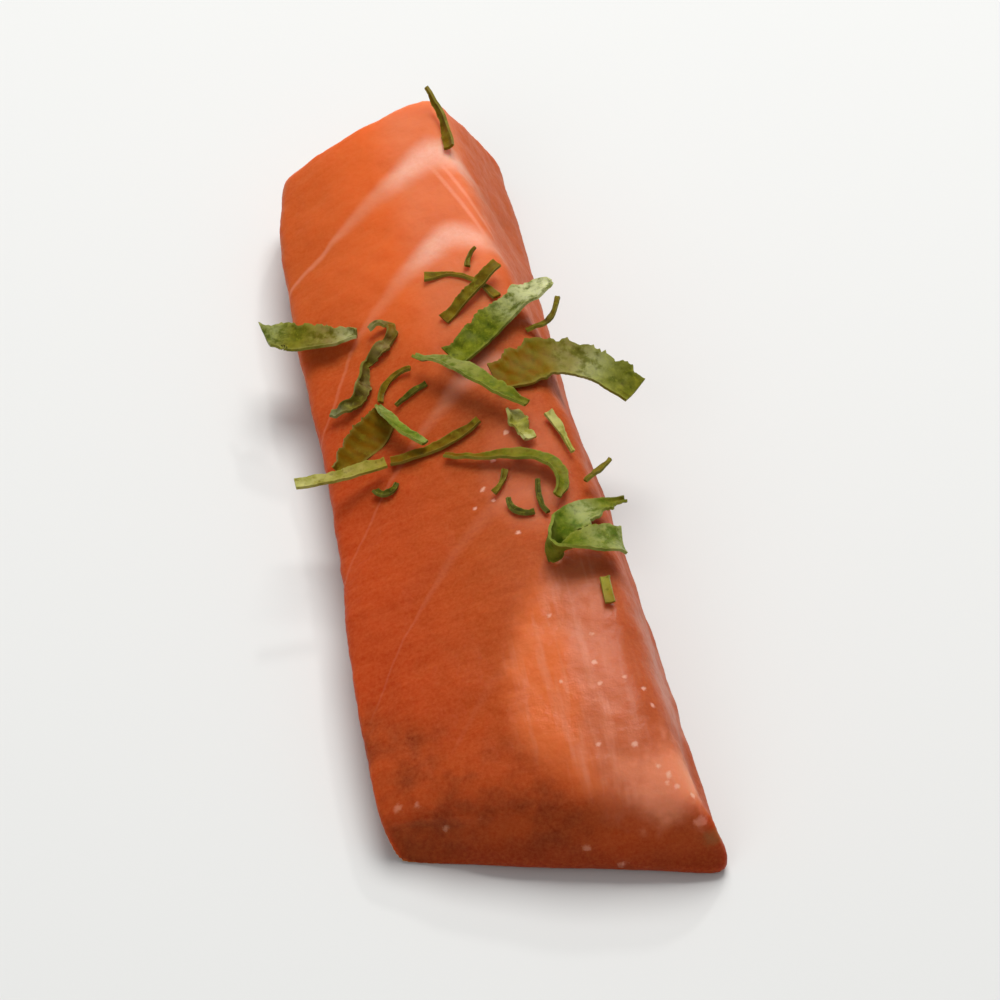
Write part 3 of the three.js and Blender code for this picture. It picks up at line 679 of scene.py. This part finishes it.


# The shreds of leaf.

# Each shred starts at a place on the slice seen from above, in millimetres, and heads off at an
# angle from +X. It takes its turns one after another, each over an equal share of its length.
# Lift is how far it stands above the flesh from start to end, roll is how far it is tipped over,
# taper is how much of the width is left, and droop is how steeply it can bend down. Slant turns
# the cut at each end, rounding rounds it, teeth notch the edge and crinkle makes waves along it.
# The pale mark says where it is paled, partly by bleaching and partly by a painted highlight, and
# browned where its colour is turned, from start to end.
shreds = dict(
    flap_left=dict(
        start=(-11.5, 14.6), heading=-30, length=6.5, turns=[8, 16], width=2.7,
        lift=[0.5, 0.5, 0.6], roll=[8, 0, -6], taper=[1, 0.95, 0.75, 0.35], droop=0.2,
        leaf="green", slant=(-38, 0), teeth=0.1, bleach_and_painted_highlight=[0.2, 0, 0.1, 0.5],
        browned=[0, 0.3, 0.6, 0.3]),
    crinkled=dict(
        start=(-4.6, 11.9), heading=40, length=10, turns=[-100, -85, -5, 50, -10, -65, -40],
        width=0.9, lift=[0.9, 0.8, 0.9], roll=[30, -20, 30, 0, 20],
        taper=[0.5, 0.6, 1, 0.6, 1.1, 1, 0.5], crinkle=0.2, waves=6, leaf="dark", teeth=0.15,
        bleach_and_painted_highlight=[0.2, 0, 0.12, 0, 0.1, 0, 0.2], browned=[0.3, 0.8, 0.2, 0.4, 0]),
    stick=dict(
        start=(0.3, 10.5), heading=31, length=5, turns=[3, 3], width=0.85, lift=[0.5, 1, 1.4],
        roll=[0, 0], taper=[1, 0.95, 1], droop=0.3, leaf="brown", browned=[0.3, 0, 0.4]),
    stem=dict(
        start=(-0.3, 14.8), heading=-6, length=6.1, turns=[-14, -26, -16, 0], width=0.45,
        lift=[0.5, 0.45, 0.45, 0.45], roll=[0, 0], taper=[1.8, 0.8, 0.8, 1, 1.4], droop=0.3,
        leaf="brown", browned=[0.2, 0.6, 0.3]),
    twig=dict(
        start=(2.6, 14.4), heading=80, length=1.6, turns=[-20, -20], width=0.35, lift=[0.6, 0.8],
        roll=[0, 0], taper=[1.2, 0.8, 0.6], leaf="brown"),
    band_pale=dict(
        start=(0.2, 6.4), heading=33, length=8.4, turns=[0, -4, -8, -14], width=2.25,
        lift=[0.4, 0.8, 1.2, 1.7, 2.4], roll=[0, 4, 10, 16], taper=[0.85, 1, 1, 0.95, 0.75],
        droop=0.1, leaf="green", rounding=(0, 1.1), teeth=0.08, bleach_and_painted_highlight=[0, 0, 0, 0.3, 0.7, 1]),
    curl_pale=dict(
        start=(8, 9.9), heading=-108, length=3.8, turns=[-10, -36, -20], width=0.38,
        lift=[1.3, 0.9, 0.6], roll=[0, 0], taper=[0.8, 1, 0.7], droop=0.1, leaf="brown"),
    strip_long=dict(
        start=(-2.3, 7.5), heading=-42, length=9.8, turns=[-6, -6, 2, 6], width=1.35,
        lift=[0.6, 1.4, 1.6, 1.6, 1.6], roll=[20, 0, -10], taper=[0.35, 0.8, 1, 0.9, 0.45],
        droop=0.1, leaf="bright", bleach_and_painted_highlight=[0.1, 0.14, 0, 0], browned=[0.2, 0.3, 0.25, 0.4]),
    leaf_dark=dict(
        start=(2.6, 3.6), heading=8, length=10.2, turns=[14, -20, -26, -20, 0], width=2.5,
        lift=[0.5, 0.6, 0.9, 1, 0.9], roll=[0, -6, -10, 0], taper=[0.8, 1.3, 1.05, 0.95, 0.9],
        droop=0.2, leaf="green", teeth=0.22, browned=[1, 0.9, 0.5, 0.1, 0.2],
        bleach_and_painted_highlight=[0, 0, 0, 0.12, 0.28, 0.05, 0]),
    loop_thin=dict(
        start=(-4.9, 5.7), heading=84, length=3.3, turns=[-44, -60], width=0.42,
        lift=[0.5, 0.6, 0.7], roll=[0, 0], taper=[0.8, 1, 0.8], leaf="brown", browned=[0.3, 0.3]),
    loop_short=dict(
        start=(-4, 4.9), heading=34, length=2.4, turns=[-14, -10], width=0.42, lift=[0.5, 0.45],
        roll=[0, 0], taper=[0.6, 1, 0.9], leaf="dark"),
    leaf_brown=dict(
        start=(-8.6, 1.6), heading=30, length=4.7, turns=[4, 8], width=2.5, lift=[0.5, 0.5, 0.5],
        roll=[0, 0], taper=[0.25, 0.8, 1, 0.7], leaf="brown", browned=[0.5, 0.9, 1, 0.7]),
    strip_green=dict(
        start=(-5.2, 4.9), heading=-74, length=5.4, turns=[6, 8, 8], width=1,
        lift=[1.1, 1.3, 1.2, 1.1], roll=[0, 10, 0], taper=[0.5, 1, 1, 0.6], leaf="bright",
        bleach_and_painted_highlight=[0.2, 0, 0.1]),
    strip_straight=dict(
        start=(-11.7, -0.6), heading=2, length=6.2, turns=[2, 4], width=0.9,
        lift=[1.4, 1.2, 1.1], roll=[0, 0], taper=[1, 1, 1, 0.9], droop=0.1, leaf="pale",
        browned=[0.1, 0.4, 0.5], bleach_and_painted_highlight=[0.3, 0.1, 0]),
    strip_brown=dict(
        start=(-5.1, 0.3), heading=-8, length=6.2, turns=[4, 14, 20], width=0.8,
        lift=[0.5, 0.45, 0.5], roll=[0, 0], taper=[0.9, 1, 1, 0.6], leaf="brown",
        browned=[0.8, 0.5, 0.3]),
    loop_small=dict(
        start=(-6.5, -1.5), heading=-70, length=1.9, turns=[60, 80], width=0.5, lift=[0.5, 0.5],
        roll=[0, 0], taper=[1, 1, 0.6], leaf="dark"),
    strip_arc=dict(
        start=(-1.7, -1), heading=-32, length=10.7, turns=[2, 6, -2, -18, -44, -44], width=1,
        lift=[0.5, 0.6, 0.8, 0.9, 0.9, 1], roll=[0, 0, 10, 20],
        taper=[0.4, 0.5, 0.8, 1.05, 1.1, 0.9, 0.6], droop=0.3, leaf="bright",
        browned=[1, 0.8, 0.5, 0.4, 0.45]),
    bits_pale=dict(
        start=(3, 0.5), heading=-66, length=3, turns=[-14, 10], width=1.3, lift=[0.8, 0.8],
        roll=[20, -30, 10], taper=[0.6, 1, 0.6, 0.8], crinkle=0.15, waves=2.5, leaf="pale",
        teeth=0.2, bleach_and_painted_highlight=[0.35, 0.1, 0.45]),
    strip_pale=dict(
        start=(5.4, -0.3), heading=-64, length=3.7, turns=[-10, -6, 0], width=0.6,
        lift=[0.7, 0.7], roll=[0, 0], taper=[1, 0.9, 0.5, 0.35], leaf="pale",
        bleach_and_painted_highlight=[0.3, 0.1]),
    fold=dict(
        start=(9, -8.2), heading=195, length=12.6, turns=[4, 8, 4, 8, 30, 122, -6, -2, 0],
        width=2.1, lift=[0.8, 0.8, 0.8, 0.9, 1.2, 1.5, 1.7, 1.6, 1.3],
        roll=[0, 0, 0, 20, 70, 84, 20, 0, -6],
        taper=[0.2, 0.5, 1, 1, 0.85, 0.85, 1.05, 1.1, 1.05], droop=0.2, leaf="bright", teeth=0.1,
        bleach_and_painted_highlight=[0, 0, 0.3, 0, 0, 0, 0, 0.15, 0.3],
        browned=[0.5, 0.2, 0.05, 0.1, 0.2, 0.2, 0.12]),
    stub=dict(
        start=(6.4, -14.6), heading=-92, length=2, turns=[0, 2], width=0.7, lift=[0.6, 0.6],
        roll=[0, 0], taper=[1, 1], leaf="pale", browned=[0.2, 0.7]),
    stick_dark=dict(
        start=(6.7, -6.6), heading=42, length=2.6, turns=[-4, 6], width=0.42, lift=[0.8, 1, 1.2],
        roll=[0, 0], taper=[0.7, 1, 0.6], droop=0.1, leaf="brown"),
    strand_dark=dict(
        start=(3.7, -5.6), heading=-100, length=2.9, turns=[8, 30], width=0.36, lift=[0.5, 0.5],
        roll=[0, 0], taper=[0.8, 1, 0.8], leaf="dark"),
    curl_tiny=dict(
        start=(1.6, -6.4), heading=-95, length=2.5, turns=[40, 66], width=0.5, lift=[0.5, 0.5],
        roll=[0, 0], taper=[0.6, 1, 0.8], leaf="dark"),
    stem_tiny=dict(
        start=(1.8, -4), heading=-104, length=1.9, turns=[-18, -30], width=0.38, lift=[0.5, 0.5],
        roll=[0, 0], taper=[1, 0.8, 1], leaf="brown"),
    shred_tip=dict(
        start=(3.4, 26), heading=85, length=5.4, turns=[4, 14, 12], width=0.85,
        lift=[0.6, 0.6, 1, 1.7], roll=[0, 20, 40], taper=[1, 0.9, 0.6, 0.3], droop=0.1,
        leaf="brown", browned=[0.6, 0.4, 0.2, 0.6]),
)

# A leaf's body, in millimetres. The cup is a share of its width, and its drop a share of the cup.
leaf_thickness = 0.2
leaf_cup = 0.1
cup_drop = 0.3
crumple_height = 0.35
crumple_width = 1.4

# How a shred comes to rest: how much lower than its lift it lies, the gap over which it turns
# level, how often its tilt is evened out, the steepest flesh that its lift allows for, and how
# steeply a limp one bends down.
leaf_settling = 0.2
loose_gap = 1
easing_rounds = 3
steepest = 0.5
limp = 1.2

# How finely a shred is cut: a narrow one takes shorter steps and fewer lanes. Its cross rows lie
# one ring step apart, and a row's corners lie within a small reach of it.
narrow = 1.1
narrow_step, wide_step = 0.6, 0.75
narrow_lanes, wide_lanes = 4, 6
fewest_steps = 6
ring_step = 0.14
row_reach = 0.01 * MM

# How ragged its outline is: each row's wobble is the mean of a few draws.
tooth_length = 1.2
wobble_span = 4
rough_width = 0.22
rough_shift = 0.08
least_rounding = 0.02
least_slant = 0.1
crisp_edge = math.radians(50)


def along(stops, s):
    """A value that eases through stops spread evenly over a shred's length, s from 0 to 1."""
    place = s * (len(stops) - 1)
    first = min(int(place), len(stops) - 2)
    return lerp(stops[first], stops[first + 1], smoothstep(place - first, 0, 1))


def route_from_above(cut, steps, ground):
    """The places that a shred passes over, step by step, and the flesh below each."""
    step, turns = cut["length"] / steps, cut["turns"]
    x, y = cut["start"]
    places = []
    for n in range(steps + 1):
        places.append((x, y, ground(x, y)))
        done = (n + 0.5) / steps * len(turns)
        turned = cut["heading"] + sum(
            turn * min(1, max(0, done - part)) for part, turn in enumerate(turns))
        x += step * math.cos(math.radians(turned))
        y += step * math.sin(math.radians(turned))
    return places


def middle_line(cut, steps, ground):
    """Where a shred's middle lies, step by step: it rests on the flesh or bridges a dip."""
    places = route_from_above(cut, steps, ground)
    fall = cut.get("droop", limp) * (cut["length"] / steps)
    level = Vector((0, 0, 1))
    line = []
    for n, (x, y, under) in enumerate(places):
        s = n / steps
        rest = max(
            low[0] - fall * abs(n - m) if low else 0 for m, (_, _, low) in enumerate(places))
        clear = smoothstep(rest - under[0], 0, loose_gap) if under else 1
        facing = under[1].lerp(level, clear) if under else level.copy()
        ripple = cut.get("crinkle", 0) * math.sin(2 * math.pi * cut.get("waves", 0) * s)
        lift = along(cut["lift"], s) - leaf_settling
        line.append([Vector((x, y, rest + lift / max(steepest, facing.z) + ripple)), facing])
    for _ in range(easing_rounds):
        eased = [
            (line[max(0, n - 1)][1] + line[n][1] + line[min(steps, n + 1)][1]).normalized()
            for n in range(steps + 1)
        ]
        for place, facing in zip(line, eased):
            place[1] = facing
    return line


def flat_strip(name, cut, length, rings, lanes):
    """A flat strip of leaf from the origin along X, cupped a little across its width."""
    bpy.ops.object.select_all(action="DESELECT")
    bpy.ops.mesh.primitive_grid_add(size=1, x_subdivisions=rings, y_subdivisions=lanes)
    strip = bpy.context.object
    strip.name = name + "_leaf"
    bpy.ops.object.mode_set(mode="EDIT")
    bpy.ops.mesh.select_all(action="SELECT")
    bpy.ops.transform.translate(value=(0.5, 0, 0))
    bpy.ops.transform.resize(
        value=(length * MM, cut["width"] * MM, 1), center_override=(0, 0, 0))
    for lane in range(lanes + 1):
        across = lane / lanes - 0.5
        at = across * cut["width"] * MM
        rise = leaf_cup * cut["width"] * MM * (4 * across ** 2 - cup_drop)
        pick(strip, lambda corner: abs(corner.y - at) < row_reach)
        bpy.ops.transform.translate(value=(0, 0, rise))
    bpy.ops.object.mode_set(mode="OBJECT")
    return strip


def cut_outline(strip, cut, length, rings, wobble):
    """Narrows, shifts and turns a strip's cross rows one by one, to its rough or toothed edge."""
    width = cut["width"]
    bpy.ops.object.mode_set(mode="EDIT")
    for ring in range(rings + 1):
        s = ring / rings
        ends = (s * length, (1 - s) * length)
        at = s * length * MM
        rough = sum(wobble[ring:ring + wobble_span]) / wobble_span
        tooth = cut.get("teeth", 0) * (1 - (s * length / tooth_length) % 1)
        wide = along(cut["taper"], s) * (1 + rough_width * rough) + tooth / width
        for from_end, radius in zip(ends, cut.get("rounding", (0, 0))):
            if from_end < radius:
                wide *= math.sqrt(max(least_rounding, 1 - (1 - from_end / radius) ** 2))
        shift = (rough_shift * width * rough + 0.5 * tooth) * MM
        slant = sum(
            angle * (1 - smoothstep(from_end, 0, width))
            for from_end, angle in zip(ends, cut.get("slant", (0, 0))))
        pick(strip, lambda corner: abs(corner.x - at) < row_reach)
        bpy.ops.transform.resize(value=(1, wide, 1), center_override=(at, 0, 0))
        bpy.ops.transform.translate(value=(0, shift, 0))
        if abs(slant) > least_slant:
            bpy.ops.transform.rotate(
                value=math.radians(slant), orient_axis="Z", center_override=(at, 0, 0))
    bpy.ops.object.mode_set(mode="OBJECT")


def route_curve(name, cut, line):
    """A curve along a shred's middle line, tilted as the flesh faces and as the shred rolls."""
    steps = len(line) - 1
    route = bpy.data.curves.new(name + "_route", "CURVE")
    route.dimensions = "3D"
    route.twist_mode = "Z_UP"
    spline = route.splines.new("BEZIER")
    spline.bezier_points.add(steps)
    for n, point in enumerate(spline.bezier_points):
        middle, facing = line[n]
        ahead = (line[min(steps, n + 1)][0] - line[max(0, n - 1)][0]).normalized()
        level = Vector((0, 0, 1)).cross(ahead).normalized()
        left = facing.cross(ahead).normalized()
        lean = math.atan2(level.cross(left).dot(ahead), level.dot(left))
        point.co = middle * MM
        point.handle_left_type = point.handle_right_type = "AUTO"
        point.tilt = -(lean + math.radians(along(cut["roll"], n / steps)))
    guide = bpy.data.objects.new(name + "_route", route)
    bpy.context.collection.objects.link(guide)
    return guide


def cut_shred(name, cut, ground):
    """A flat strip of leaf is cut to its outline, bent along its middle line and given its body."""
    wide_leaf = cut["width"] > narrow
    step = wide_step if wide_leaf else narrow_step
    steps = max(fewest_steps, round(cut["length"] / step))
    line = middle_line(cut, steps, ground)
    length = sum((line[n + 1][0] - line[n][0]).length for n in range(steps))
    rings, lanes = round(length / ring_step), wide_lanes if wide_leaf else narrow_lanes
    chance = random.Random(name)
    wobble = [chance.uniform(-1, 1) for _ in range(rings + wobble_span)]

    strip = flat_strip(name, cut, length, rings, lanes)
    cut_outline(strip, cut, length, rings, wobble)
    for mark in ("bleach_and_painted_highlight", "browned"):
        shares = [
            along(cut.get(mark, [0, 0]), corner.co.x / (length * MM))
            for corner in strip.data.vertices
        ]
        strip.data.attributes.new(mark, "FLOAT", "POINT").data.foreach_set("value", shares)
    crumple = bpy.data.textures.new(name + "_crumple", "CLOUDS")
    crumple.noise_scale = crumple_width * MM
    finish_modifier(strip, "DISPLACE", texture=crumple, strength=crumple_height * MM,
                    mid_level=0.5, texture_coords="LOCAL", direction="Z")
    guide = route_curve(name, cut, line)
    finish_modifier(strip, "CURVE", object=guide, deform_axis="POS_X")
    bpy.data.objects.remove(guide)
    finish_modifier(strip, "SOLIDIFY", thickness=leaf_thickness * MM, offset=0)
    only(strip)
    bpy.ops.object.shade_smooth_by_angle(angle=crisp_edge)
    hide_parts(name)
    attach(strip, "root")
    strip.data.materials.clear()
    strip.data.materials.append(leaves[cut["leaf"]])


def green_leaf(name, deep, light):
    """A fresh herb leaf cut in strips: satin, mottled, with fine veins, pale cut edges, brown
    stretches and pale ones that are partly bleaching and partly painted highlight."""
    material, tree = new_material(name)
    place = own_place(tree)

    # Patches about a millimetre wide, with paler and darker flecks a third of that.
    patches = node(tree, NOISE, {"Vector": place, "Scale": 1.1, "Detail": 3, "Roughness": 0.6})
    patches = node(tree, RANGE, {0: patches, 1: 0.35, 2: 0.65})
    flecks = node(tree, NOISE, {"Vector": place, "Scale": 2.8, "Detail": 3, "Roughness": 0.6})
    colour = node(tree, MIX, {0: patches, UNDER: paint(deep), OVER: paint(light)}, **colours)
    for none, full, most, tone in ((0.55, 0.66, 0.4, "#8e9024"), (0.44, 0.34, 0.45, "#2c2a04")):
        share = node(tree, RANGE, {0: flecks, 1: none, 2: full, 3: 0, 4: most})
        colour = node(tree, MIX, {0: share, UNDER: colour, OVER: paint(tone)}, **colours)

    # The strip's marks, patchy: brown of its own, and pale that is partly bleaching and partly
    # painted highlight.
    patchy = node(tree, RANGE, {0: patches, 1: 0, 2: 0.8, 3: 0.5, 4: 1})
    blotched = node(tree, MATH, {0: patches, 1: flecks})
    blotched = node(tree, RANGE, {0: blotched, 1: 0.5, 2: 1.25, 3: 0.1, 4: 1}, **soft)
    for mark, mask, tone in (("browned", patchy, "#744600"), ("bleach_and_painted_highlight", blotched, "#d2d2a0")):
        share = node(tree, "ShaderNodeAttribute", output="Fac", attribute_name=mark)
        share = node(tree, MATH, {0: share, 1: mask}, **times)
        colour = node(tree, MIX, {0: share, UNDER: colour, OVER: paint(tone)}, **colours)

    # Veins 2 mm apart run slantwise; the cut edges are a little paler.
    veins = node(tree, "ShaderNodeTexWave", {
        "Vector": place, "Scale": 0.5, "Distortion": 3, "Detail": 2,
    }, output="Fac", bands_direction="DIAGONAL")
    share = node(tree, MATH, {0: veins, 1: 0.16}, **times)
    colour = node(tree, MIX, {0: share, UNDER: colour, OVER: paint("#84842a")}, **colours)
    on_strip = node(tree, "ShaderNodeTexCoord", output="UV")
    off_middle = node(tree, "ShaderNodeSeparateXYZ", {0: on_strip}, output="Y")
    off_middle = node(tree, MATH, {0: off_middle, 1: 0.5}, operation="SUBTRACT")
    off_middle = node(tree, MATH, {0: off_middle}, operation="ABSOLUTE")
    share = node(tree, RANGE, {0: off_middle, 1: 0.38, 2: 0.5, 3: 0, 4: 0.25}, **soft)
    colour = node(tree, MIX, {0: share, UNDER: colour, OVER: paint("#98984a")}, **colours)

    relief = node(tree, MATH, {0: veins, 1: 0.6, 2: flecks}, **times_plus)
    shader = node(tree, "ShaderNodeBsdfPrincipled", {
        "Base Color": colour,
        "Roughness": 0.5,
        "Specular IOR Level": 0.1,
        "Specular Tint": paint("#c8c850"),
        "Subsurface Weight": 0.15,
        "Subsurface Radius": (0.8, 0.9, 0.2),
        "Subsurface Scale": 0.4 * MM,
        "Coat Weight": 0.03,
        "Coat Roughness": 0.3,
        "Normal": node(tree, "ShaderNodeBump", {
            "Strength": 0.5, "Distance": 0.05 * MM, "Height": relief}),
    })
    node(tree, "ShaderNodeOutputMaterial", {"Surface": shader})
    return material


# Making it all. The slice is rounded, and then made again in small even cells.

flesh_rounding = 4
flesh_cell = 0.173
flat_reach = 0.02 * MM
board_width = 3
board_gap = 0.02 * MM

set_camera()
salmon = block_out_slice()
finish_modifier(salmon, "SUBSURF", levels=flesh_rounding, render_levels=flesh_rounding)
smooth_flesh = BVHTree.FromPolygons(
    [corner.co / MM for corner in salmon.data.vertices],
    [tuple(face.vertices) for face in salmon.data.polygons])


def ground(x, y):
    """The height of the smooth slice below a place, and the way that it faces there."""
    above, down = Vector((x, y, 2 * ridge["height"])), Vector((0, 0, -1))
    found, facing, _, _ = smooth_flesh.ray_cast(above, down)
    return (found.z, facing) if found else None


finish_modifier(salmon, "REMESH", mode="VOXEL", voxel_size=flesh_cell * MM)
bpy.ops.object.mode_set(mode="EDIT")
pick(salmon, lambda corner: corner.z < flat_reach)
bpy.ops.mesh.dissolve_faces()
pick(salmon, lambda corner: corner.z < flat_reach)
bpy.ops.transform.resize(value=(1, 1, 0), center_override=(0, 0, 0))
bpy.ops.object.mode_set(mode="OBJECT")
finish_modifier(salmon, "NODES", node_group=relief_of_flesh())
only(salmon)
bpy.ops.object.shade_smooth()
salmon.data.materials.append(raw_salmon())
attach(salmon, "root")
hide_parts("slice")

leaves = dict(
    green=green_leaf("leaf_blade", "#404c06", "#6e7416"),
    bright=green_leaf("young_leaf_blade", "#46600c", "#74842a"),
    pale=green_leaf("leaf_rib", "#84802a", "#b0a844"),
    dark=green_leaf("shrivelled_leaf_edge", "#262606", "#4c4a10"),
    brown=green_leaf("leaf_stalk", "#503e0a", "#746012"),
)
for name, cut in shreds.items():
    cut_shred(name, cut, ground)

# The tabletop, a hair below the slice so that the two don't flicker, and the lights.

bpy.ops.object.select_all(action="DESELECT")
bpy.ops.mesh.primitive_plane_add(size=board_width, location=(0, 0, -board_gap))
board = bpy.context.object
board.name = "board"
board.data.materials.append(pale_board())


def soft_light(name, place, size, power):
    """A square soft box that faces the slice."""
    bpy.ops.object.light_add(type="AREA", location=place)
    light = bpy.context.object
    light.name = name
    light.data.size = size
    light.data.energy = power
    light.rotation_euler = (camera_target - Vector(place)).to_track_quat("-Z", "Y").to_euler()


soft_light("key", place=(0.07, 0.22, 0.45), size=0.3, power=2.35)
soft_light("fill", place=(-0.26, -0.3, 0.34), size=0.3, power=0.42)
soft_light("glint", place=(0.16, 0.36, 0.3), size=0.03, power=0.3)
world = bpy.data.worlds.new("room")
world.use_nodes = True
room = world.node_tree.nodes["Background"]
room.inputs["Color"].default_value = paint("#f4f6fa")
room.inputs["Strength"].default_value = 0.28
bpy.context.scene.world = world
bpy.context.scene.view_settings.view_transform = "Standard"
